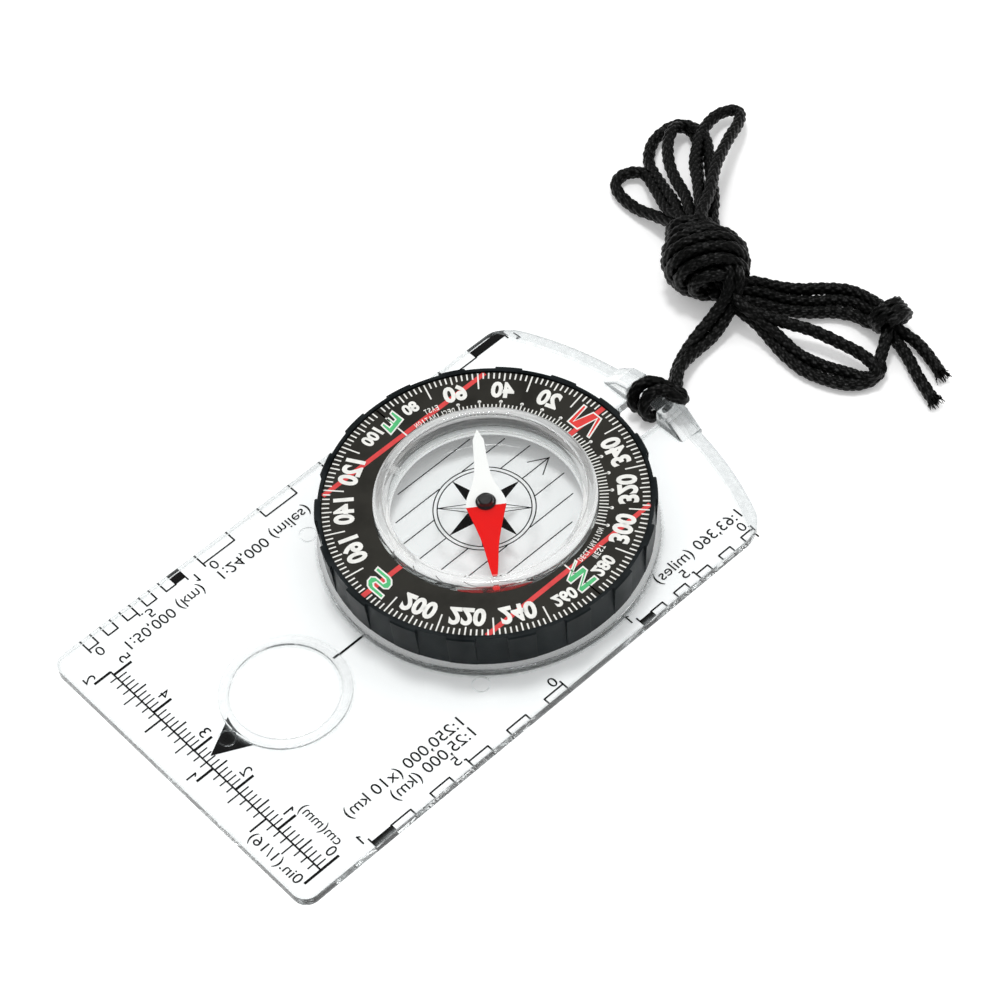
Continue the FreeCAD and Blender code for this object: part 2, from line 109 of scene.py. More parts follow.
class Graph:
    """The node tree of a material, or of the world, with short calls for the nodes used here."""

    def __init__(self, name, world=False):
        self.owner = bpy.data.worlds.new(name) if world else bpy.data.materials.new(name)
        self.owner.use_nodes = True
        self.tree = self.owner.node_tree
        self.tree.nodes.clear()
        self.output = self.node("OutputWorld" if world else "OutputMaterial")

    def node(self, kind, *values, named=None, **settings):
        """A new node: values go to its inputs in order, named ones by their names."""
        made = self.tree.nodes.new("ShaderNode" + kind)
        for key, value in settings.items():
            setattr(made, key, value)
        for socket, value in zip(made.inputs, values):
            self.feed(socket, value)
        for key, value in (named or {}).items():
            self.feed(made.inputs[key], value)
        return made

    def feed(self, socket, value):
        if isinstance(value, bpy.types.NodeSocket):
            self.tree.links.new(value, socket)
        else:
            socket.default_value = value

    def math(self, operation, *values):
        return self.node("Math", *values, operation=operation).outputs[0]

    def product(self, *values):
        return self.math("MULTIPLY", *values)

    def dot(self, *vectors):
        return self.node("VectorMath", *vectors, operation="DOT_PRODUCT").outputs["Value"]

    def hypotenuse(self, first, second):
        """Distance made of two that stand at right angles."""
        squares = self.math("ADD", self.product(first, first), self.product(second, second))
        return self.math("SQRT", squares)

    def coordinates(self, kind="Object"):
        return self.node("TexCoord").outputs[kind]

    def split(self, vector):
        """X, Y and Z of a vector."""
        return self.node("SeparateXYZ", vector).outputs

    def noise(self, scale, detail=4.0, roughness=0.55, vector=None):
        vector = vector or self.coordinates()
        named = {"Vector": vector, "Scale": scale, "Detail": detail, "Roughness": roughness}
        return self.node("TexNoise", named=named).outputs["Fac"]

    def stretched(self, scale):
        """Object coordinates scaled unevenly, for streaks and scratches."""
        return self.node("Mapping", self.coordinates(), named={"Scale": scale}).outputs[0]

    def remap(self, value, low, high, to_low, to_high, curve="LINEAR"):
        return self.node("MapRange", value, low, high, to_low, to_high, interpolation_type=curve).outputs[0]

    def mix_colour(self, factor, first, second):
        named = {"Factor": factor, "A": first, "B": second}
        return self.node("Mix", named=named, data_type="RGBA").outputs["Result"]

    def bump(self, height, strength, distance_mm, normal=None):
        named = {"Strength": strength, "Distance": distance_mm * MM, "Height": height}
        if normal is not None:
            named["Normal"] = normal
        return self.node("Bump", named=named).outputs[0]

    def soft_edges(self, radius_mm):
        return self.node("Bevel", radius_mm * MM, samples=4).outputs[0]

    def principled(self, **inputs):
        named = {key.replace("_", " "): value for key, value in inputs.items()}
        return self.node("BsdfPrincipled", named=named)

    def mix_shader(self, factor, first, second):
        return self.node("MixShader", factor, first, second).outputs[0]

    def finish(self, shader):
        self.feed(self.output.inputs["Surface"], shader)
        return self.owner


def rgba(red, green, blue):
    return (red, green, blue, 1.0)


def toned(colour, times, plus=0.0):
    """A colour made lighter or darker."""
    return rgba(*(channel * times + plus for channel in colour[:3]))


def lets_light_by(graph, shader, tint):
    """Clear stuff that shadows and bounced light pass straight through."""
    path = graph.node("LightPath")
    passing = graph.math("MAXIMUM", path.outputs["Is Shadow Ray"], path.outputs["Is Diffuse Ray"])
    window = graph.node("BsdfTransparent", tint).outputs[0]
    return graph.mix_shader(passing, shader, window)


def clear_plastic(name, tint, haze):
    """Polished clear plastic with faint mould ripple, rubbed haze and hairline scratches."""
    g = Graph(name)
    rubbed = g.noise(60.0, detail=3.0)
    scratches = g.noise(40.0, detail=2.0, vector=g.stretched((30.0, 900.0, 200.0)))
    ripple = g.noise(35.0, detail=1.0)
    roughness = g.remap(g.product(rubbed, scratches), 0.2, 0.5, 0.0, haze)
    normal = g.bump(ripple, 0.04, 0.4)
    shader = g.principled(
        Base_Color=tint,
        Roughness=roughness,
        IOR=CLEAR_IOR,
        Transmission_Weight=1.0,
        Normal=normal,
    )
    return g, shader


def ring_mask(graph, centre_y, inner, outer):
    """One inside an upright ring round a place on the plate's middle line, nought elsewhere."""
    x, y, _ = graph.split(graph.coordinates())
    reach = graph.hypotenuse(x, graph.math("SUBTRACT", y, centre_y * MM))
    outside = graph.math("GREATER_THAN", reach, inner * MM)
    return graph.product(outside, graph.math("LESS_THAN", reach, outer * MM))


def acrylic_plate():
    """Clear plate, polished on its faces and slightly rolled over at every edge. A speckled grey is painted
    on as shade at every edge, on the slope along the arched end and on the magnifier's rim, in place of the
    surroundings seen bent through the rounded edges."""
    g, shader = clear_plastic("clear_acrylic", rgba(0.972, 0.99, 0.993), 0.05)
    slope = ring_mask(g, ARCH_TOP_Y - ARCH_R, ARCH_R - ARCH_SLOPE, ARCH_R + 1.0)
    lens_rim = ring_mask(g, LENS_Y, LENS_R, LENS_RIM_R)
    coated = g.math("MAXIMUM", g.product(slope, SLOPE_SHADE), g.product(lens_rim, LENS_RIM_SHADE))
    turned = g.dot(g.soft_edges(EDGE_ROUND), g.node("NewGeometry").outputs["Normal"])
    near_edge = g.remap(turned, 0.99, 0.7, 0.0, 1.0)
    speckle = g.noise(700.0, detail=4.0)
    # Painted shade: a speckled grey diffuse mixed in at every edge, on the slope and on the lens rim,
    # standing in for the surroundings seen bent through the rounded edges.
    edge_shade_colour = g.mix_colour(speckle, rgba(0.3, 0.33, 0.335), rgba(0.62, 0.65, 0.655))
    edge_shade = g.node("BsdfDiffuse", edge_shade_colour).outputs[0]
    edge_blend = g.product(g.math("MAXIMUM", near_edge, coated), g.remap(speckle, 0.35, 0.65, 0.3, 0.6))
    edged = g.mix_shader(edge_blend, shader.outputs[0], edge_shade)
    return g.finish(lets_light_by(g, edged, rgba(0.99, 0.995, 0.995)))


def capsule_plastic():
    """Clear plastic, frosted at the glue line, with a whitish grey painted on its thick wall as painted
    light for the white paper seen through it; where liquid, glue or the plug meets it the step in index is
    slight."""
    g, shader = clear_plastic("capsule_clear", rgba(0.988, 0.993, 0.993), 0.03)
    x, y, z = g.split(g.coordinates())
    radius = g.hypotenuse(x, y)
    in_well = g.math("LESS_THAN", radius, (WELL_R + 0.15) * MM)
    under_ceiling = g.math("LESS_THAN", z, (CEILING + 0.1) * MM)
    over_floor = g.math("GREATER_THAN", z, (FLOOR_TOP - 0.1) * MM)
    wetted = g.product(g.product(in_well, under_ceiling), over_floor)
    glued = g.math("LESS_THAN", g.math("ABSOLUTE", g.math("SUBTRACT", z, JOINT_Z * MM)), 0.02 * MM)
    aside = g.math("SUBTRACT", g.product(x, PLUG_WAY[1]), g.product(y, PLUG_WAY[0]))
    off_plug = g.hypotenuse(aside, g.math("SUBTRACT", z, PLUG_Z * MM))
    plugged = g.math("LESS_THAN", off_plug, PLUG_R * 1.1 * MM)
    meeting = g.math("MAXIMUM", g.math("MAXIMUM", wetted, glued), plugged)
    g.feed(shader.inputs["IOR"], g.remap(meeting, 0.0, 1.0, CLEAR_IOR, WETTED_IOR))
    in_wall = g.math("GREATER_THAN", radius, (WELL_R + 0.2) * MM)
    # Painted light on the thick wall: a whitish grey diffuse coat in place of the white paper seen through
    # it. At the glue line the same coat is the real frosted joint.
    glue_frost_and_wall_light = g.math("MAXIMUM", g.product(glued, GLUE_MILK), g.product(in_wall, WALL_PAINTED_LIGHT))
    cloud = g.noise(260.0, detail=3.0)
    frost_and_light_colour = g.mix_colour(cloud, rgba(0.8, 0.8, 0.79), rgba(0.95, 0.95, 0.94))
    frost_and_light = g.node("BsdfDiffuse", frost_and_light_colour).outputs[0]
    coated = g.mix_shader(glue_frost_and_wall_light, shader.outputs[0], frost_and_light)
    return g.finish(lets_light_by(g, coated, rgba(0.998, 1.0, 1.0)))


def clear_liquid():
    """The liquid is taken with the capsule as one clear body, so its own faces only tint."""
    g = Graph("fluid")
    drift = g.noise(90.0, detail=2.0)
    tint = g.mix_colour(drift, rgba(0.993, 0.997, 0.997), rgba(0.999, 1.0, 1.0))
    return g.finish(g.node("BsdfTransparent", tint).outputs[0])


def moulded_black(name, colour, roughness, grain, shine):
    """Black moulded plastic: fine spark texture, dusty highs and rubbed edges."""
    g = Graph(name)
    grain_noise = g.noise(4200.0, detail=3.0)
    blotches = g.noise(160.0, detail=5.0)
    edge = g.node("NewGeometry").outputs["Pointiness"]
    edge_blend = g.remap(g.product(edge, g.remap(blotches, 0.3, 0.7, 0.9, 1.1)), 0.5, 0.62, 0.0, 1.0)
    tone = g.mix_colour(g.remap(blotches, 0.35, 0.7, 0.0, 1.0), colour, toned(colour, 1.4, 0.002))
    rubbed = g.mix_colour(edge_blend, tone, toned(colour, 2.0, 0.01))
    rough = g.remap(blotches, 0.3, 0.7, roughness - 0.05, roughness + 0.08)
    shader = g.principled(
        Base_Color=rubbed,
        Roughness=rough,
        Specular_IOR_Level=shine,
        Normal=g.bump(grain_noise, grain, 0.03, g.soft_edges(0.12)),
    )
    return g.finish(shader.outputs[0])


def ink(name, colour, roughness=0.45, shine=0.3):
    """Screen-printed ink with slight unevenness in its cover."""
    g = Graph(name)
    cover = g.noise(900.0, detail=4.0)
    shader = g.principled(
        Base_Color=g.mix_colour(g.remap(cover, 0.35, 0.65, 0.0, 1.0), colour, toned(colour, 0.86)),
        Roughness=g.remap(cover, 0.3, 0.7, roughness - 0.06, roughness + 0.1),
        Specular_IOR_Level=shine,
        Normal=g.bump(cover, 0.15, 0.01),
    )
    return g.finish(shader.outputs[0])


def needle_paint():
    """Gloss paint, red on the north half and white on the south half, with an orange-peel skin."""
    g = Graph("needle_paint")
    heading = radians(NEEDLE_HEADING)
    along = g.dot(g.coordinates(), (sin(heading), cos(heading), 0.0))
    ragged = g.product(g.math("SUBTRACT", g.noise(900.0), 0.5), PAINT_LINE_RAGGED * MM)
    north = g.math("GREATER_THAN", g.math("ADD", along, ragged), PAINT_LINE * MM)
    mottle = g.noise(500.0, detail=3.0)
    red = g.mix_colour(mottle, rgba(0.74, 0.001, 0.001), rgba(0.84, 0.003, 0.002))
    white = g.mix_colour(mottle, rgba(0.9, 0.9, 0.88), rgba(0.95, 0.95, 0.93))
    shader = g.principled(
        Base_Color=g.mix_colour(north, white, red),
        Roughness=g.remap(mottle, 0.3, 0.7, 0.45, 0.55),
        Specular_IOR_Level=0.05,
        Normal=g.bump(mottle, 0.1, 0.02, g.soft_edges(0.05)),
    )
    return g.finish(shader.outputs[0])


def metal(name, colour, roughness):
    g = Graph(name)
    brushed = g.noise(300.0, detail=3.0, vector=g.stretched((1.0, 1.0, 40.0)))
    shader = g.principled(
        Base_Color=g.mix_colour(brushed, colour, toned(colour, 0.7)),
        Metallic=1.0,
        Roughness=g.remap(brushed, 0.3, 0.7, roughness, roughness + 0.15),
        Normal=g.bump(brushed, 0.1, 0.02, g.soft_edges(0.05)),
    )
    return g.finish(shader.outputs[0])


def soft_seal():
    """Milky silicone rubber."""
    g = Graph("seal_rubber")
    cloud = g.noise(400.0, detail=4.0)
    shader = g.principled(
        Base_Color=g.mix_colour(cloud, rgba(0.62, 0.64, 0.64), rgba(0.75, 0.76, 0.76)),
        Roughness=g.remap(cloud, 0.3, 0.7, 0.4, 0.6),
        Subsurface_Weight=0.3,
        Subsurface_Radius=(MM, MM, MM),
        Normal=g.bump(cloud, 0.1, 0.02),
    )
    return g.finish(shader.outputs[0])


def ruby():
    g = Graph("jewel")
    shader = g.principled(
        Base_Color=g.mix_colour(g.noise(900.0), rgba(0.8, 0.08, 0.16), rgba(0.9, 0.15, 0.25)),
        Roughness=g.remap(g.noise(500.0), 0.3, 0.7, 0.02, 0.1),
        IOR=1.76,
        Transmission_Weight=0.6,
    )
    return g.finish(shader.outputs[0])


def cord_yarn():
    """Black braided polyester: the braid is in the mesh, this adds filament lines, lint and painted shade
    in the braid's crevices.
    """
    g = Graph("cord")
    filaments = g.noise(5200.0, detail=3.0, roughness=0.7)
    patches = g.noise(220.0, detail=4.0)
    dark = rgba(0.0003, 0.0004, 0.0003)
    light = rgba(0.005, 0.0054, 0.0048)
    tone = g.mix_colour(g.remap(filaments, 0.42, 0.75, 0.0, 1.0), dark, light)
    # Painted shade: ambient occlusion takes the shine out in the braid's crevices and where cord runs
    # touch.
    occlusion_shade = g.node("AmbientOcclusion", samples=4, named={"Distance": 0.7 * MM}).outputs["AO"]
    shader = g.principled(
        Base_Color=g.mix_colour(g.remap(patches, 0.4, 0.8, 0.0, 0.5), tone, rgba(0.003, 0.0034, 0.003)),
        Roughness=g.remap(filaments, 0.3, 0.7, 0.3, 0.5),
        Specular_IOR_Level=g.remap(occlusion_shade, 0.45, 0.95, 0.0, 0.22),
        Normal=g.bump(filaments, 0.5, 0.05),
    )
    return g.finish(shader.outputs[0])


def floor_paper():
    """White light-table paper, softly lit from behind."""
    g = Graph("floor")
    tooth = g.noise(300.0, detail=2.0)
    shader = g.principled(
        Base_Color=g.mix_colour(tooth, rgba(0.9, 0.9, 0.9), rgba(0.93, 0.93, 0.93)),
        Roughness=0.9,
        Emission_Color=rgba(1.0, 1.0, 1.0),
        Emission_Strength=0.24,
    )
    return g.finish(shader.outputs[0])


# ---- flat print: shapes are drawn right-reading in millimetres, then given their hand ----

INK_THICK = 0.012
INK_LIFT = 0.01


class Print:
    """Thin ink shapes gathered into one piece."""

    def __init__(self, bottom):
        self.mesh = bmesh.new()
        self.bottom = bottom

    def polygon(self, outline):
        low = [self.mesh.verts.new((x, y, self.bottom)) for x, y in outline]
        high = [self.mesh.verts.new((x, y, self.bottom + INK_THICK)) for x, y in outline]
        self.mesh.faces.new(low[::-1])
        self.mesh.faces.new(high)
        for i in range(len(outline)):
            j = (i + 1) % len(outline)
            self.mesh.faces.new((low[i], low[j], high[j], high[i]))

    def line(self, start, end, width):
        """Straight bar with square ends."""
        along = (Vector(end) - Vector(start)).normalized()
        side = Vector((-along.y, along.x)) * width / 2
        a, b = Vector(start), Vector(end)
        self.polygon([tuple(a - side), tuple(b - side), tuple(b + side), tuple(a + side)])

    def block(self, x1, y1, x2, y2):
        self.polygon([(x1, y1), (x2, y1), (x2, y2), (x1, y2)])

    def band(self, inner, outer, steps=120):
        """Ring round the middle, its top and its underside."""
        for z in (self.bottom, self.bottom + INK_THICK):
            rings = []
            for radius in (inner, outer):
                rings.append([self.mesh.verts.new(polar(radius, 360 * i / steps) + (z,))
                              for i in range(steps)])
            for i in range(steps):
                j = (i + 1) % steps
                self.mesh.faces.new((rings[0][i], rings[0][j], rings[1][j], rings[1][i]))

    def dot(self, x, y, radius, steps=14):
        angles = [tau * i / steps for i in range(steps)]
        self.polygon([(x + radius * cos(a), y + radius * sin(a)) for a in angles])

    def text(self, words, centre, height, width, turn=0.0, weight=0.0):
        """Words fitted to a cap height and width, centred, turned anticlockwise by degrees."""
        glyphs = text_mesh(words, weight)
        xs = [v.co.x for v in glyphs.vertices]
        cap = text_cap_height(weight)
        fit = Matrix.Diagonal((width / (max(xs) - min(xs)), height / cap, 1.0, 1.0))
        middle = Matrix.Translation((-(max(xs) + min(xs)) / 2, -cap / 2, 0))
        deep = Matrix.Diagonal((1.0, 1.0, INK_THICK, 1.0))
        place = Matrix.Translation((centre[0], centre[1], self.bottom))
        spin = Matrix.Rotation(radians(turn), 4, "Z")
        glyphs.transform(place @ spin @ deep @ fit @ middle)
        self.mesh.from_mesh(glyphs)
        bpy.data.meshes.remove(glyphs)

    def figure_one(self, centre, height, turn=0.0):
        """A one with a flag: a plain stem reads as a bar at this size."""
        half = height / 2
        stem = [(-0.05, -1.0), (0.27, -1.0), (0.27, 1.0)]
        flag = [(0.02, 1.0), (-0.42, 0.6), (-0.42, 0.3), (-0.05, 0.58)]
        spin = Matrix.Rotation(radians(turn), 2)
        self.polygon([tuple(spin @ Vector(point) * half + Vector(centre)) for point in stem + flag])

    def piece(self, name, body, finish, slot):
        hand = Matrix.Diagonal((PRINT_HAND * MM, MM, MM, 1.0))
        self.mesh.transform(hand)
        return new_piece(name, self.mesh, body, finish)


def polar(radius, degrees):
    """Place on a dial: degrees clockwise from +Y."""
    angle = radians(degrees)
    return (radius * sin(angle), radius * cos(angle))


def new_object(name, data):
    made = bpy.data.objects.new(name, data)
    bpy.context.scene.collection.objects.link(made)
    return made


def new_piece(name, mesh, body, finish, smooth=False):
    bmesh.ops.recalc_face_normals(mesh, faces=mesh.faces)
    data = bpy.data.meshes.new(name)
    mesh.to_mesh(data)
    mesh.free()
    for face in data.polygons:
        face.use_smooth = smooth
    made = new_object(name, data)
    data.materials.append(finish)
    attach(made, body)
    return made


def text_mesh(words, weight):
    """Unit-thick mesh of a line of text."""
    curve = bpy.data.curves.new("words", "FONT")
    curve.body = words
    curve.size = 1.0
    curve.offset = weight
    curve.extrude = 0.5
    curve.resolution_u = 4
    made = new_object("words", curve)
    bpy.context.view_layer.update()
    graph = bpy.context.evaluated_depsgraph_get()
    mesh = bpy.data.meshes.new_from_object(made.evaluated_get(graph))
    mesh.transform(Matrix.Translation((0, 0, 0.5)))
    bpy.data.objects.remove(made)
    bpy.data.curves.remove(curve)
    return mesh


def text_cap_height(weight):
    """Height of a capital at unit size."""
    probe = text_mesh("H", weight)
    height = max(v.co.y for v in probe.vertices)
    bpy.data.meshes.remove(probe)
    return height


def inset(outline, amount):
    """Outline moved inwards by an even margin. The outline runs anticlockwise."""
    moved = []
    count = len(outline)
    for i in range(count):
        before = Vector(outline[i]) - Vector(outline[i - 1])
        after = Vector(outline[(i + 1) % count]) - Vector(outline[i])
        n1 = Vector((-before.y, before.x)).normalized()
        n2 = Vector((-after.y, after.x)).normalized()
        mitre = (n1 + n2) / max(0.25, 1 + n1.dot(n2))
        moved.append(tuple(Vector(outline[i]) + mitre * amount))
    return moved


def anticlockwise(outline):
    area = sum(a[0] * b[1] - b[0] * a[1] for a, b in zip(outline, outline[1:] + outline[:1]))
    return outline if area > 0 else outline[::-1]


# ---- dial print ----

TICK_OUT_R = 26.2
TICK_IN_R = 25.0
EVEN_TEN_IN_R = 24.6
ODD_TEN_IN_R = 22.9
TICK_WIDTH = 0.25

# Height of the figures, width of one figure, and the radius of their middles.
NUMBER = (3.1, 1.93, 22.75)
NUMBER_BY_LETTER = (2.15, 1.35, 23.05)
NUMBER_WEIGHT = 0.045
# Numbers beside an east or west letter are small and stand some degrees off their place.
NUDGED = {80: -0.5, 100: 0.5, 260: -0.5, 280: 0.5}

RED_LINE_X = 19.3
RED_WIDTH = 0.85
LETTER_EDGE = 0.26

DECLINATION_R = (18.15, 19.6)
DECLINATION_REACH = 60
DECLINATION_WIDTH = 0.2
DECLINATION_DOT_R = 20.2
DECLINATION_DOT = 0.3
SIDE_MARK_R = (21.0, 24.0)
# Word, radius, first and last degree, and height of its letters.
CURVED_WORDS = (
    ("DECLINATION", 19.35, 62.0, 83.6, 0.95),
    ("EAST", 20.9, 68.6, 75.8, 1.05),
    ("DECLINATION", 19.35, 276.4, 298.0, 0.95),
    ("WEST", 20.9, 281.4, 289.4, 1.05),
)
WORD_WEIGHT = 0.015


def dial_ticks(white):
    for degrees in range(0, 360, 2):
        if degrees in (0, 180):
            continue
        inner = TICK_IN_R
        if degrees % 20 == 0:
            inner = EVEN_TEN_IN_R
        elif degrees % 10 == 0:
            inner = ODD_TEN_IN_R
        white.line(polar(inner, degrees), polar(TICK_OUT_R, degrees), TICK_WIDTH)


def dial_numbers(white):
    for value in range(20, 360, 20):
        if value == 180:
            continue
        height, figure, radius = NUMBER_BY_LETTER if value in NUDGED else NUMBER
        label = str(value)
        width = figure * (len(label) - 0.25 * label.count("1"))
        place = polar(radius, value + NUDGED.get(value, 0.0))
        white.text(label, place, height, width, -value, weight=NUMBER_WEIGHT)


def declination_scale(white):
    inner, outer = DECLINATION_R
    for degrees in range(-DECLINATION_REACH, DECLINATION_REACH + 1, 2):
        if not degrees:
            continue
        dotted = degrees % 10 == 0
        if dotted:
            white.dot(*polar(DECLINATION_DOT_R, degrees), DECLINATION_DOT)
        end = DECLINATION_DOT_R if dotted else outer
        white.line(polar(inner, degrees), polar(end, degrees), DECLINATION_WIDTH)
    for side in (90, 270):
        white.line(polar(inner, side), polar(SIDE_MARK_R[0], side), TICK_WIDTH)
        white.line(polar(SIDE_MARK_R[1], side), polar(TICK_OUT_R, side), TICK_WIDTH)
    for word in CURVED_WORDS:
        curved_word(white, *word)


def curved_word(white, word, radius, start, end, height):
    step = (end - start) / len(word)
    for i, letter in enumerate(word):
        degrees = start + step * (i + 0.5)
        room = radians(step) * radius
        width = room * (0.25 if letter == "I" else 0.74)
        white.text(letter, polar(radius, degrees), height, width, -degrees, weight=WORD_WEIGHT)


def north_letter():
    return [(-2.91, -2.1), (-2.2, -2.1), (-0.85, 1.4), (-0.16, -2.2), (2.3, -2.2), (2.9, 2.3),
            (2.03, 2.3), (1.5, -1.2), (0.59, 2.25), (-1.48, 2.25)]


def east_letter():
    return [(-1.87, -1.82), (0.95, -1.6), (1.1, -0.8), (-0.3, -0.75), (-0.2, -0.25), (1.2, -0.1),
            (1.3, 0.45), (0.05, 0.45), (0.15, 0.85), (1.7, 1.0), (2.0, 1.85), (-0.9, 1.95)]


def west_letter():
    upright = [(-2.35, -1.9), (-1.3, -1.9), (-0.1, 0.6), (0.15, -1.9), (1.2, -1.9), (2.75, 1.9), (2.1, 1.9),
               (1.15, -0.5), (0.95, 1.9), (-0.25, 1.9), (-1.35, -0.6), (-1.6, 1.9), (-2.75, 1.9)]
    return [(x + 0.12 * y, y) for x, y in upright]


def south_letter():
    """Half of the S, from the top end round to the middle; the rest is its half turn."""
    half = [(2.3, 1.95), (2.25, 1.0), (-0.25, 1.0), (-0.62, 0.72), (-0.5, 0.42), (1.25, 0.42),
            (2.0, -0.15), (1.95, -1.1), (1.3, -1.8), (0.6, -1.98)]
    return [(x + 0.16 * y, y) for x, y in half + [(-x, -y) for x, y in half]]


def cardinal_letters(outline, green, red):
    """White-edged letters, all upright with north at the top."""
    drawn = [
        (north_letter(), (0.0, 22.25), red),
        (east_letter(), (22.5, 0.0), green),
        (west_letter(), (-21.5, 0.0), green),
        (south_letter(), (0.0, -22.65), green),
    ]
    for shape, centre, colour in drawn:
        shape = anticlockwise([(x + centre[0], y + centre[1]) for x, y in shape])
        outline.polygon(shape)
        colour.polygon(inset(shape, LETTER_EDGE))


def make_dial_print():
    """Three layers of ink: red lines, then white, then the coloured middles of the letters."""
    red = Print(CARD_TOP)
    white = Print(CARD_TOP + INK_THICK)
    fill_green = Print(CARD_TOP + 2 * INK_THICK)
    fill_red = Print(CARD_TOP + 2 * INK_THICK)
    inner = DECLINATION_R[0]
    red.line((0, inner), (0, TICK_OUT_R), RED_WIDTH + 0.05)
    red.line((0, -inner), (0, -TICK_OUT_R), RED_WIDTH + 0.05)
    reach = sqrt(TICK_OUT_R ** 2 - RED_LINE_X ** 2)
    for side in (-1, 1):
        red.line((side * RED_LINE_X, -reach), (side * RED_LINE_X, reach), RED_WIDTH)
    dial_ticks(white)
    dial_numbers(white)
    declination_scale(white)
    cardinal_letters(white, fill_green, fill_red)
    layers = (
        (red, "dial_red_lines", "red_ink", rgba(0.72, 0.045, 0.045)),
        (fill_red, "dial_north_letter", "north_red", rgba(0.78, 0.035, 0.03)),
        (white, "dial_white_print", "white_ink", rgba(0.86, 0.86, 0.82)),
        (fill_green, "dial_green_letters", "green_ink", rgba(0.075, 0.52, 0.19)),
    )
    for layer, name, ink_name, colour in layers:
        layer.piece(name, "dial", ink(ink_name, colour), "dial_print")


# ---- capsule floor print ----

LINE_SPACING = 4.0
LINE_REACH = 14.4
LINE_WIDTH = 0.2
ARROW_TIP_Y = 14.2
ARROW_WING = (1.85, 11.1)
ROSE_R = (7.6, 8.27)
ROSE_ROOM_R = 8.37
ROSE_SHIFT_X = 0.5
# Distance of the tip, distance of the widest place, and half width there.
FULL_POINT = (ROSE_R[0] + 0.1, 2.6, 1.2)
HOLLOW_POINT = (ROSE_R[0], 2.4, 0.85)
HOLLOW_EDGE = 0.15
HOLLOW_RIB = 0.1
HOLLOW_RIB_FROM = 2.2


def star_point(black, degrees, tip, base, half_width):
    left = polar(half_width, degrees - 90)
    right = polar(half_width, degrees + 90)
    out = polar(base, degrees)
    corners = [polar(tip, degrees), (out[0] + right[0], out[1] + right[1]), (0, 0),
               (out[0] + left[0], out[1] + left[1])]
    black.polygon(anticlockwise(corners))


def hollow_point(black, degrees, tip, base, half_width):
    side = Vector(polar(half_width, degrees + 90))
    foot = Vector(polar(base, degrees))
    point = polar(tip, degrees)
    for sign in (-1, 1):
        black.line(tuple(foot + side * sign), point, HOLLOW_EDGE)
    black.line(polar(HOLLOW_RIB_FROM, degrees), point, HOLLOW_RIB)


def orienting_lines(black):
    """Parallel lines, broken where the compass rose stands."""
    count = int(LINE_REACH // LINE_SPACING)
    for i in range(-count, count + 1):
        x = i * LINE_SPACING
        reach = sqrt(LINE_REACH ** 2 - x ** 2)
        gap = sqrt(max(0.0, ROSE_ROOM_R ** 2 - x ** 2))
        for sign in (-1, 1):
            black.line((x, sign * gap), (x, sign * reach), LINE_WIDTH)


def make_floor_print():
    black = Print(FLOOR_TOP + INK_LIFT)
    orienting_lines(black)
    for sign in (-1, 1):
        black.line((0, ARROW_TIP_Y), (sign * ARROW_WING[0], ARROW_WING[1]), LINE_WIDTH)
    for radius in ROSE_R:
        black.band(radius - LINE_WIDTH / 2, radius + LINE_WIDTH / 2)
    for degrees in range(0, 360, 90):
        star_point(black, degrees, *FULL_POINT)
        hollow_point(black, degrees + 45, *HOLLOW_POINT)
    bmesh.ops.translate(black.mesh, verts=black.mesh.verts, vec=(ROSE_SHIFT_X, 0.0, 0.0))
    finish = ink("black_line_ink", rgba(0.003, 0.003, 0.003), shine=0.0)
    black.piece("capsule_floor_print", "dial", finish, "capsule_clear")


# ---- plate print: on the underside, seen through the plate ----

RULER_Y = -60.07
RULER_ZERO_X = -27.45
INCH = 25.4
RULE = 0.28
# Every so many ticks, with what length and width; the first that fits a tick is drawn.
CM_TICKS = ((10, 3.6, 0.45), (5, 2.5, 0.3), (1, 1.8, 0.24))
INCH_TICKS = ((16, 3.3, 0.45), (8, 3.3, 0.34), (4, 2.4, 0.24), (1, 1.3, 0.24))
RULER_FIGURE = 1.9
RULER_FIGURE_OFF = 3.3
SCALE_FIGURE = 1.75
# Words, their middle counted from the ruler's nought, height and width.
CM_FIGURES = [(str(cm), (10 * cm + 1.4, RULER_FIGURE_OFF), RULER_FIGURE, 1.25)
              for cm in (0, 2, 3, 4, 5)]
RULER_WORDS = CM_FIGURES + [
    ("2", (2 * INCH + 1.3, -RULER_FIGURE_OFF), RULER_FIGURE, 1.3),
    ("0in.(1/16)", (6.4, -3.4), SCALE_FIGURE, 11.3),
    ("cm(mm)", (6.0, 5.3), SCALE_FIGURE, 8.9),
]
RULER_ONES = ((11.3, RULER_FIGURE_OFF), (INCH + 1.2, -RULER_FIGURE_OFF))

SCALE_LINE_X = 29.13
SCALE_FIGURE_X = 27.73
SCALE_OUT_X = PLATE_HALF - 0.1
SCALE_CORNER = 0.1
SCALE_LONG_MARK = 0.75
# Figure, its share of the scale, and its width.
SCALE_FIGURES = (("0", 0.0, 1.3), (".5", 0.5, 1.9))
SCALE_FIGURE_SHIFT = {90: 1.2, -90: -0.95}
# Side of the plate, where the nought and the one of a map scale stand, and the turn of its figures.
MAP_SCALES = (
    (1, -59.95, -39.95, 90),
    (1, -36.3, 30.76, 90),
    (-1, -11.45, -51.45, -90),
    (-1, 30.68, 5.28, -90),
)
# Words, their middle, width and turn.
SCALE_LABELS = (
    ("1:50,000 (km)", (25.3, -47.1), 15.8, 90),
    ("1:24,000 (miles)", (25.3, -26.3), 19.0, 90),
    ("1:63,360 (miles)", (-25.3, 22.0), 19.0, -90),
    ("1:25,000 (km)", (-25.4, -35.6), 16.7, -90),
    ("1:250,000 (x10 km)", (-22.7, -39.2), 23.8, -90),
)
LABEL_HEIGHT = 2.0

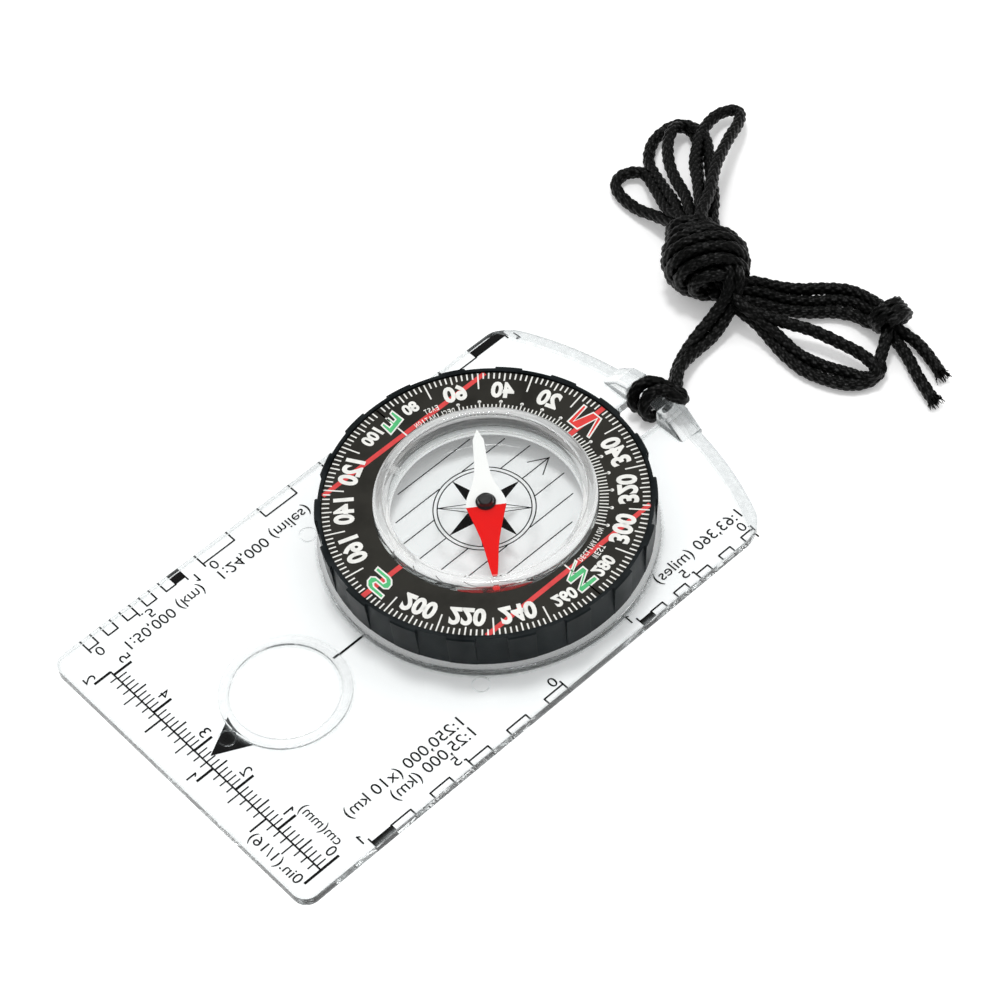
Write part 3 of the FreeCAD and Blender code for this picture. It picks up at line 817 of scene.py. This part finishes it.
INDEX_LINE_Y = (-26.4, -33.6)
INDEX_LINE_WIDTH = 0.4
POINTER_TIP_Y = -58.9
POINTER_LENS_R = 9.7


def ruler_ticks(black, count, spacing, upward, kinds):
    for i in range(count + 1):
        length, width = next((long, wide) for every, long, wide in kinds if i % every == 0)
        x = RULER_ZERO_X + i * spacing
        black.line((x, RULER_Y), (x, RULER_Y + upward * length), width)


def ruler(black):
    black.line((RULER_ZERO_X, RULER_Y), (RULER_ZERO_X + 2 * INCH + 0.1, RULER_Y), RULE)
    ruler_ticks(black, 50, 1.0, 1, CM_TICKS)
    ruler_ticks(black, 32, INCH / 16, -1, INCH_TICKS)
    for words, (x, y), height, width in RULER_WORDS:
        black.text(words, (RULER_ZERO_X + x, RULER_Y + y), height, width)
    for x, y in RULER_ONES:
        black.figure_one((RULER_ZERO_X + x, RULER_Y + y), RULER_FIGURE)


def scale_bar(black, side, zero_y, one_y):
    """Map scale in tenths along one long edge, open blocks and a black one, out to the edge."""
    inner = side * SCALE_LINE_X
    outer = side * SCALE_OUT_X
    tenth = (one_y - zero_y) / 10
    for first in range(0, 10, 2):
        low, high = zero_y + first * tenth, zero_y + (first + 1) * tenth
        black.line((inner, low), (inner, high), RULE)
        for y in (low, high):
            black.line((inner - side * SCALE_CORNER, y), (outer, y), RULE)
    low, high = sorted((zero_y + 9 * tenth, one_y))
    black.block(min(inner, outer), low, max(inner, outer), high)
    for share in (0, 5, 10):
        y = zero_y + share * tenth
        black.line((inner - side * SCALE_LONG_MARK, y), (outer, y), RULE)


def scale_figures(black, side, zero_y, one_y, turn):
    x = side * SCALE_FIGURE_X
    shift = SCALE_FIGURE_SHIFT[turn]
    for label, share, width in SCALE_FIGURES:
        y = zero_y + share * (one_y - zero_y)
        black.text(label, (x, y + shift), SCALE_FIGURE, width, turn)
    black.figure_one((x, one_y + shift), SCALE_FIGURE, turn)


def lens_pointer(black):
    """Solid triangle that points at the ruler from the magnifier's round edge."""
    angles = [radians(degrees) for degrees in range(-21, 22, 6)]
    arc = [(POINTER_LENS_R * sin(a), LENS_Y - POINTER_LENS_R * cos(a)) for a in angles]
    black.polygon(anticlockwise([(0, POINTER_TIP_Y)] + arc[::-1]))


def make_plate_print():
    black = Print(INK_LIFT)
    ruler(black)
    for side, zero_y, one_y, turn in MAP_SCALES:
        scale_bar(black, side, zero_y, one_y)
        scale_figures(black, side, zero_y, one_y, turn)
    for words, centre, width, turn in SCALE_LABELS:
        black.text(words, centre, LABEL_HEIGHT, width, turn)
    black.line((0, INDEX_LINE_Y[0]), (0, INDEX_LINE_Y[1]), INDEX_LINE_WIDTH)
    lens_pointer(black)
    finish = ink("black_ink", rgba(0.004, 0.004, 0.004), shine=0.0)
    black.piece("plate_print", "base", finish, "clear_acrylic")


# ---- lanyard cord ----

CORD_R = 1.16
BRAID_CARRIERS = 6
BRAID_PITCH = 2.0
BRAID_RELIEF = 0.36
CORD_STEP = 0.15
CORD_SIDES = 36


def smooth_path(points, step):
    """Evenly spaced places along a curve through the points."""
    p = np.array(points, float)
    ends = np.vstack([2 * p[0] - p[1], p, 2 * p[-1] - p[-2]])
    dense = []
    for i in range(1, len(ends) - 2):
        t = np.linspace(0, 1, 24, endpoint=False)[:, None]
        a, b, c, d = ends[i - 1], ends[i], ends[i + 1], ends[i + 2]
        dense.append(0.5 * (2 * b + (c - a) * t + (2 * a - 5 * b + 4 * c - d) * t ** 2
                            + (3 * b - a - 3 * c + d) * t ** 3))
    dense = np.vstack(dense + [p[-1:]])
    walked = np.concatenate([[0], np.cumsum(np.linalg.norm(np.diff(dense, axis=0), axis=1))])
    count = max(4, int(walked[-1] / step))
    even = np.linspace(0, walked[-1], count)
    places = np.stack([np.interp(even, walked, dense[:, k]) for k in range(3)], 1)
    return places, even


def carried_frames(places):
    """Two directions across the cord at each place, carried along without twist."""
    along = np.gradient(places, axis=0)
    along /= np.linalg.norm(along, axis=1)[:, None]
    first = np.cross(along[0], (0.0, 0.0, 1.0))
    if np.linalg.norm(first) < 0.1:
        first = np.cross(along[0], (1.0, 0.0, 0.0))
    side = first / np.linalg.norm(first)
    sides = []
    for direction in along:
        side = side - direction * side.dot(direction)
        side = side / np.linalg.norm(side)
        sides.append(side)
    sides = np.array(sides)
    return sides, np.cross(along, sides)


def braid_relief(angle, distance):
    """Height of a braid at an angle round the cord and a distance along it, from 0 to 1."""
    round_cord = BRAID_CARRIERS * angle / tau
    u = round_cord + distance / BRAID_PITCH
    v = round_cord - distance / BRAID_PITCH
    over = (np.floor(u) + np.floor(v)) % 2 == 0
    across = np.where(over, u % 1, v % 1) - 0.5
    lengthwise = np.where(over, v % 1, u % 1) - 0.5
    crown = np.sqrt(np.clip(1 - (2.0 * across) ** 2, 0, 1))
    stitch = np.floor(u % BRAID_CARRIERS) * 12.9898 + np.floor(v + 4000) * 78.233
    uneven = 0.82 + 0.18 * np.abs(np.sin(stitch))
    return uneven * crown * (0.25 + 0.75 * np.cos(pi * lengthwise))


def cord_mesh(points, squash=None):
    """Corners and faces of one braided run through the points, closed at both ends."""
    places, distance = smooth_path(points, CORD_STEP)
    side, lift = carried_frames(places)
    angle = np.linspace(0, tau, CORD_SIDES, endpoint=False)
    reach = CORD_R - BRAID_RELIEF * (1 - braid_relief(angle[None, :], distance[:, None]))
    if squash is not None:
        reach = reach * squash(places)[:, None]
    outward = np.cos(angle)[:, None] * side[:, None, :] + np.sin(angle)[:, None] * lift[:, None, :]
    rings = places[:, None, :] + reach[..., None] * outward
    corners = [tuple(c) for c in (rings.reshape(-1, 3) * MM)]
    faces = []
    for row in range(len(places) - 1):
        for i in range(CORD_SIDES):
            j = (i + 1) % CORD_SIDES
            low, high = row * CORD_SIDES, (row + 1) * CORD_SIDES
            faces.append((low + i, low + j, high + j, high + i))
    faces.append(tuple(range(CORD_SIDES))[::-1])
    last = (len(places) - 1) * CORD_SIDES
    faces.append(tuple(range(last, last + CORD_SIDES)))
    return corners, faces


def cord_piece(name, runs, finish, squash=None):
    corners, faces = [], []
    for run in runs:
        run_corners, run_faces = cord_mesh(run, squash)
        first = len(corners)
        corners += run_corners
        faces += [tuple(first + i for i in face) for face in run_faces]
    data = bpy.data.meshes.new(name)
    data.from_pydata(corners, [], faces)
    ready = bmesh.new()
    ready.from_mesh(data)
    bpy.data.meshes.remove(data)
    made = new_piece(name, ready, "lanyard", finish, smooth=True)
    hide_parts("lanyard_cord")
    return made


HANK_CENTRE = (-12.3, 62.5, 6.1)
HANK_HEADING = -25.0
WRAPS_FROM = -9.8
WRAPS_TO = 6.2
WRAP_ACROSS = 6.1
WRAP_UP = 4.85
WRAP_SWELL = (0.46, 0.6, 0.74, 1.0, 1.09, 1.03, 0.84, 0.4)
WRAP_UNEVEN = 0.015
CORE_ACROSS = 3.7
CORE_UP = 2.5
# How many strands stand round the core, and at what share of its size.
CORE_RINGS = ((9, 1.0), (4, 0.4))
CORE_ALONG = (-6.0, -3.0, 0.0, 2.0, 4.0)
KNOT = (16.3, 77.0, 3.6)
KNOT_HEADING = -14.0
KNOT_TURNS = 2.3
KNOT_LENGTH = 3.2
KNOT_SLANT = 0.9
KNOT_ACROSS = 2.6
KNOT_UP = 2.35
FILAMENTS = 60
PRESSED = 0.22
PRESS_REACH = 1.6
PRESS_UP = 0.9


def lying_at(centre, heading, along, across, up):
    """A place given in the directions of something that lies at a heading."""
    turn = radians(heading)
    x = centre[0] + along * cos(turn) - across * sin(turn)
    y = centre[1] + along * sin(turn) + across * cos(turn)
    return (x, y, centre[2] + up)


def hank_place(along, across, up):
    return lying_at(HANK_CENTRE, HANK_HEADING, along, across, up)


def hank_wraps():
    """The cord wound round the bundle, with uneven turns and both ends tucked in."""
    draw = random.Random(5)
    turns = len(WRAP_SWELL) - 0.6
    steps = int(turns * 12)
    points = []
    for i in range(steps + 1):
        share = i / steps
        turn = turns * share
        whole = min(int(turn), len(WRAP_SWELL) - 2)
        part = min(1.0, turn - whole)
        swell = WRAP_SWELL[whole] * (1 - part) + WRAP_SWELL[whole + 1] * part
        tuck = min(1.0, 0.5 + 2.2 * min(share, 1 - share) * turns / 2)
        swell = swell * tuck + draw.uniform(-WRAP_UNEVEN, WRAP_UNEVEN)
        angle = tau * turn
        along = WRAPS_FROM + (WRAPS_TO - WRAPS_FROM) * share + 0.6 * cos(angle)
        across, up = swell * WRAP_ACROSS * cos(angle), -swell * WRAP_UP * sin(angle)
        points.append(hank_place(along, across, up))
    return points


def hank_core():
    """Strands running through the hank inside the wraps."""
    strands = []
    for count, share in CORE_RINGS:
        for i in range(count):
            angle = tau * i / count + 0.3
            across, up = CORE_ACROSS * share * cos(angle), CORE_UP * share * sin(angle)
            strands.append([hank_place(along, across, up) for along in CORE_ALONG])
    return strands


def lead_and_hitch():
    """From the hank down to the bar, twice round it as a lark's head, and back to the hank."""
    down = [
        hank_place(1.5, 1.5, 2.2), (-7.1, 62.5, 8.6), (-6.0, 61.4, 8.0), (-5.2, 60.3, 6.6),
        (-5.0, 58.5, 5.0), (-4.9, 55.9, 3.7), (-4.6, 52.6, 2.7), (-3.9, 48.9, 1.9), (-2.7, 45.8, 1.6),
        (-0.5, 42.5, 1.4),
    ]
    outer_coil = [
        (0.7, 40.4, 1.25), (0.0, 38.9, 1.2), (-0.6, 37.2, 1.05), (-1.1, 35.4, 1.4), (-1.6, 34.4, 2.6),
        (-2.0, 34.7, 4.3), (-1.9, 36.1, 5.75), (-1.0, 37.8, 6.15),
    ]
    bight = [
        (0.0, 39.0, 5.4), (1.3, 39.8, 4.7), (2.7, 40.4, 4.4), (3.9, 40.3, 4.1), (4.4, 39.6, 4.4),
        (3.4, 38.7, 5.5),
    ]
    inner_coil = [
        (1.9, 37.8, 6.25), (0.8, 36.3, 6.05), (0.5, 35.0, 4.7), (0.8, 34.4, 3.0), (1.5, 35.2, 1.4),
        (1.8, 37.2, 1.05), (1.9, 39.3, 1.5),
    ]
    up = [
        (0.9, 41.8, 2.8), (-0.9, 44.0, 3.2), (-2.1, 46.9, 2.6), (-2.8, 50.2, 1.9), (-3.0, 53.9, 1.8),
        (-3.5, 57.4, 2.7), (-3.9, 59.7, 4.2), (-4.4, 61.4, 5.8), (-5.0, 62.5, 7.4), (-6.1, 63.6, 8.4),
        hank_place(1.5, 3.5, 1.6),
    ]
    return down + outer_coil + bight + inner_coil + up


def flat_under_bar(places):
    """The cord is pressed thinner where it passes between the bar and the ground."""
    off_bar = (places[:, 1] - BAR_Y) / PRESS_REACH
    off_ground = (places[:, 2] - PRESS_UP) / PRESS_UP
    return 1 - PRESSED * np.exp(-(off_bar ** 2 + off_ground ** 2))


def far_loops():
    """The bights past the hank on the far side."""
    far = [
        hank_place(-2, 1.5, 1.0), (-18.7, 67.5, 9.0), (-22.1, 72.9, 8.5), (-27.1, 79.9, 7.0),
        (-31.1, 87.0, 5.0), (-33.5, 91.8, 3.5), (-35.6, 94.4, 2.6), (-37.5, 94.3, 2.2), (-38.4, 91.4, 2.4),
        (-37.3, 87.3, 3.2), (-34.6, 82.8, 4.4), (-30.8, 78.2, 5.6), (-26.1, 74.3, 7.0), (-21.0, 69.8, 8.0),
        hank_place(-2, 0.5, 1.6),
    ]
    broad = [
        hank_place(-2, 3.0, 0.0), (-19.2, 70.9, 6.0), (-22.3, 74.3, 6.0), (-27.4, 78.7, 5.2),
        (-31.5, 82.4, 4.4), (-35.3, 85.2, 3.6), (-39.3, 86.2, 2.6), (-42.1, 85.0, 2.0), (-43.0, 82.1, 1.6),
        (-42.2, 78.8, 1.5), (-39.7, 75.6, 1.6), (-36.0, 73.5, 2.4), (-31.4, 71.4, 3.8), (-25.5, 68.5, 5.6),
        hank_place(-2, -1.5, 0.5),
    ]
    inner = [
        hank_place(-2, 2.5, -2.0), (-20.8, 70.8, 4.0), (-25.2, 74.1, 4.0), (-31.1, 79.2, 3.4),
        (-36.1, 84.3, 2.2), (-40.1, 86.0, 1.6), (-40.9, 83.3, 3.4), (-38.9, 79.7, 4.2), (-35.5, 76.4, 4.6),
        (-31.4, 73.8, 5.0), (-26.4, 71.4, 6.0), (-21.7, 68.1, 7.0), hank_place(-2, 0.0, 0.8),
    ]
    near = [
        hank_place(-2, -1.0, 1.0), (-22.2, 67.1, 6.4), (-26.7, 67.7, 4.8), (-33.1, 70.8, 3.0),
        (-37.6, 72.8, 1.8), (-39.8, 72.0, 1.5), (-40.9, 69.9, 1.3), (-40.0, 67.7, 1.3), (-37.2, 66.5, 1.3),
        (-33.2, 66.2, 1.6), (-28.7, 66.5, 2.8), (-24.5, 66.5, 4.4), (-21.6, 67.0, 5.4),
        hank_place(-2, -1.5, 0.0),
    ]
    return [far, broad, inner, near]


def tail_runs():
    """Runs from the hank to the stopper knot and the two near bights."""
    top = [
        hank_place(2, 2.8, 0.5), (-6.2, 64.0, 6.0), (-4.4, 66.5, 4.6), (-2.1, 68.9, 3.4), (0.8, 71.8, 2.6),
        (3.4, 75.3, 2.0), (6.5, 77.6, 2.0), (10.0, 78.3, 2.4), (13.3, 78.1, 3.0), KNOT,
    ]
    second = [
        hank_place(2, 2.0, 0.0), (-5.6, 63.3, 5.0), (-2.9, 65.8, 3.8), (0.4, 68.5, 2.4), (3.3, 71.7, 1.5),
        (6.1, 74.9, 1.4), (9.1, 76.6, 1.6), (12.3, 76.8, 2.2), KNOT,
    ]
    third = [
        hank_place(2, 1.0, -1.0), (-4.6, 62.3, 4.0), (-1.2, 64.7, 3.0), (1.9, 67.0, 2.0), (4.9, 70.0, 1.4),
        (7.9, 73.0, 1.3), (11.1, 74.5, 1.6), (14.3, 74.8, 2.2), KNOT,
    ]
    inner = [
        hank_place(2, 0.0, 0.0), (-2.3, 60.6, 5.4), (1.0, 61.8, 4.6), (4.9, 63.8, 4.0), (9.0, 66.0, 3.4),
        (14.1, 67.5, 3.0), (18.6, 68.0, 3.2), (21.5, 67.7, 3.0), (22.4, 66.8, 2.4), (21.1, 65.4, 1.8),
        (18.2, 64.4, 1.5), (14.3, 62.9, 1.4), (10.3, 61.8, 1.6), (6.6, 61.6, 2.4), (2.8, 61.4, 3.6),
        (-1.4, 61.0, 4.6), hank_place(2, -1.0, -1.0),
    ]
    outer = [
        hank_place(2, -1.5, -2.0), (-2.8, 60.4, 4.0), (1.1, 60.8, 3.0), (4.5, 60.6, 2.0), (8.3, 60.1, 1.4),
        (12.5, 60.0, 1.3), (16.6, 61.0, 1.3), (20.2, 63.0, 1.3), (22.1, 65.7, 1.3), (22.1, 68.4, 1.6),
        (20.7, 69.9, 2.2), (19.6, 72.0, 2.6), (18.4, 74.0, 3.0), KNOT,
    ]
    return [top, second, third, inner, outer]


def cut_ends():
    """The two cord ends past the stopper knot."""
    first = [
        KNOT, (18.4, 76.6, 2.8), (19.9, 77.1, 2.0), (22.2, 77.4, 1.4), (24.9, 76.9, 1.25),
        (27.7, 76.0, 1.25), (29.6, 75.2, 1.25),
    ]
    second = [
        KNOT, (18.6, 75.2, 2.2), (20.8, 74.9, 1.4), (23.9, 73.8, 1.25), (27.0, 72.3, 1.25),
        (30.3, 71.0, 1.25), (32.6, 70.2, 1.25),
    ]
    return [first, second]


def knot_path():
    """Turns of cord drawn tight across the tails, tucked at both ends."""
    points = []
    steps = 36
    for i in range(steps + 1):
        share = i / steps
        turn = tau * KNOT_TURNS * share + 0.4
        along = KNOT_LENGTH * (share - 0.5) + KNOT_SLANT * sin(turn)
        across, up = KNOT_ACROSS * cos(turn), KNOT_UP * sin(turn)
        points.append(lying_at(KNOT, KNOT_HEADING, along, across, up))
    return points


def frayed_end(mesh, tip, before, draw):
    """Loose filaments standing out of a cut end."""
    tip, before = Vector(tip), Vector(before)
    out = (tip - before).normalized()
    for _ in range(FILAMENTS):
        spread = Vector([draw.gauss(0, 1) for _ in range(3)])
        spread -= out * spread.dot(out)
        start = tip - out * 0.5 + spread.normalized() * draw.uniform(0.1, 0.9)
        bend = spread.normalized() * draw.uniform(0.0, 0.8)
        end = start + out * draw.uniform(0.7, 1.7) + bend
        middle = (start + end) / 2 + spread.normalized() * draw.uniform(-0.2, 0.4)
        add_filament(mesh, [start, middle, end], draw.uniform(0.05, 0.12))


def add_filament(mesh, places, radius):
    rows = []
    for place in places:
        place = Vector((place.x, place.y, max(place.z, radius + 0.02)))
        ring = []
        for i in range(4):
            angle = tau * i / 4
            outward = Vector((cos(angle), 0.4 * sin(angle), sin(angle)))
            ring.append(mesh.verts.new((place + outward * radius) * MM))
        rows.append(ring)
    for lower, upper in zip(rows, rows[1:]):
        for i in range(4):
            j = (i + 1) % 4
            mesh.faces.new((lower[i], lower[j], upper[j], upper[i]))
    mesh.faces.new(rows[0][::-1])
    mesh.faces.new(rows[-1])


def make_lanyard():
    finish = cord_yarn()
    cord_piece("cord_lead_and_hitch", [lead_and_hitch()], finish, flat_under_bar)
    cord_piece("cord_wraps", [hank_wraps()], finish)
    cord_piece("cord_core", hank_core(), finish)
    cord_piece("cord_far_loops", far_loops(), finish)
    cord_piece("cord_tails", tail_runs(), finish)
    cord_piece("cord_knot", [knot_path()], finish)
    ends = cut_ends()
    cord_piece("cord_ends", ends, finish)
    fray = bmesh.new()
    draw = random.Random(11)
    for end in ends:
        frayed_end(fray, end[-1], end[-2], draw)
    made = new_piece("cord_frayed_ends", fray, "lanyard", finish, smooth=True)
    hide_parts("lanyard_cord")


# ---- finishes of the CAD nodes ----

def dress(node, finish):
    mesh = frame["nodes"][node].data
    mesh.materials.clear()
    mesh.materials.append(finish)
    for face in mesh.polygons:
        face.material_index = 0


def dress_nodes():
    capsule = capsule_plastic()
    dress("baseplate", acrylic_plate())
    dress("capsule_dome", capsule)
    dress("capsule_base", capsule)
    dress("damping_fluid", clear_liquid())
    dress("bezel_ring", moulded_black("bezel_plastic", rgba(0.0022, 0.0042, 0.005), 0.34, 0.25, 0.08))
    dress("dial_card", moulded_black("dial_black", rgba(0.0075, 0.0068, 0.0042), 0.5, 0.35, 0.15))
    dress("snap_ring", metal("snap_steel", rgba(0.6, 0.6, 0.58), 0.25))
    dress("pivot_pin", metal("pin_steel", rgba(0.65, 0.64, 0.62), 0.15))
    dress("capsule_seal", soft_seal())
    dress("filler_plug", capsule)
    dress("needle", needle_paint())
    dress("needle_hub", moulded_black("hub_plastic", rgba(0.004, 0.004, 0.004), 0.15, 0.05, 0.4))
    dress("jewel_bearing", ruby())


# ---- stage ----

CAMERA_AZIMUTH = 51.58
CAMERA_ELEVATION = 52.66
CAMERA_ROLL = -5.8
CAMERA_DISTANCE = 0.4926
CAMERA_TARGET = Vector((-4.59, 6.55, 0.0)) * MM
CAMERA_LENS = 108.56
CAMERA_SENSOR = 36.0

FLOOR_SIZE = 6.0
FLOOR_DROP = 0.00005
# Name, place in metres, size in metres, and power in watts.
SOFTBOXES = (
    ("key", (-0.24, 0.19, 1.2), 0.3, 5.5),
    ("fill", (0.5, 0.9, 0.8), 0.5, 1.0),
)
ROOM_LIGHT = 0.8
ROOM_LIGHT_LOW = 0.12
ROOM_BEHIND = (-0.78, 0.62, 0.0)
ROOM_LEAN = 0.5
ROOM_IN_REFLECTIONS = 0.2
BACKDROP = 0.92


def make_floor():
    bpy.ops.mesh.primitive_plane_add(size=FLOOR_SIZE, location=(0, 0, -FLOOR_DROP))
    floor = bpy.context.object
    floor.name = "floor"
    floor.data.materials.append(floor_paper())


def add_softbox(name, place, size, power):
    light = bpy.data.lights.new(name, "AREA")
    light.shape = "DISK"
    light.size = size
    light.energy = power
    made = new_object(name, light)
    made.location = place
    made.rotation_euler = (-Vector(place)).to_track_quat("-Z", "Y").to_euler()


def make_room():
    """A light tent, open low down and brighter behind the object, so that clear edges pick up a
    dark horizon. Reflections see it dimmed, and the camera sees a plain backdrop."""
    g = Graph("studio", world=True)
    direction = g.coordinates("Generated")
    seen_by = g.node("LightPath").outputs
    tent = g.remap(g.split(direction)["Z"], 0.05, 0.5, ROOM_LIGHT_LOW, ROOM_LIGHT, "SMOOTHSTEP")
    lean = g.remap(g.dot(direction, ROOM_BEHIND), -1.0, 1.0, 1 - ROOM_LEAN, 1 + ROOM_LEAN)
    dimming = g.remap(seen_by["Is Glossy Ray"], 0.0, 1.0, 1.0, ROOM_IN_REFLECTIONS)
    light = g.product(g.product(tent, lean), dimming)
    strength = g.remap(seen_by["Is Camera Ray"], 0.0, 1.0, light, BACKDROP)
    bpy.context.scene.world = g.finish(g.node("Background", rgba(1.0, 1.0, 1.0), strength).outputs[0])


def make_camera():
    azimuth, elevation = radians(CAMERA_AZIMUTH), radians(CAMERA_ELEVATION)
    level = Vector((sin(azimuth), -cos(azimuth), 0.0))
    back = level * cos(elevation) + Vector((0.0, 0.0, sin(elevation)))
    data = bpy.data.cameras.new("camera")
    data.lens = CAMERA_LENS
    data.sensor_width = CAMERA_SENSOR
    data.clip_start = 0.01
    camera = new_object("camera", data)
    aim = back.to_track_quat("Z", "Y").to_matrix()
    roll = Matrix.Rotation(radians(CAMERA_ROLL), 3, "Z")
    camera.matrix_world = Matrix.Translation(CAMERA_TARGET + back * CAMERA_DISTANCE) @ (aim @ roll).to_4x4()
    bpy.context.scene.camera = camera


def set_light_paths():
    """Light turns many corners inside the plate's clear edges, and each counts as a glossy bounce."""
    scene = bpy.context.scene
    scene.view_settings.view_transform = "Standard"
    scene.cycles.max_bounces = 48
    scene.cycles.transmission_bounces = 24
    scene.cycles.transparent_max_bounces = 24
    scene.cycles.glossy_bounces = 40
    scene.cycles.diffuse_bounces = 4


dress_nodes()
make_dial_print()
make_floor_print()
make_plate_print()
make_lanyard()
make_floor()
make_room()
for softbox in SOFTBOXES:
    add_softbox(*softbox)
make_camera()
set_light_paths()
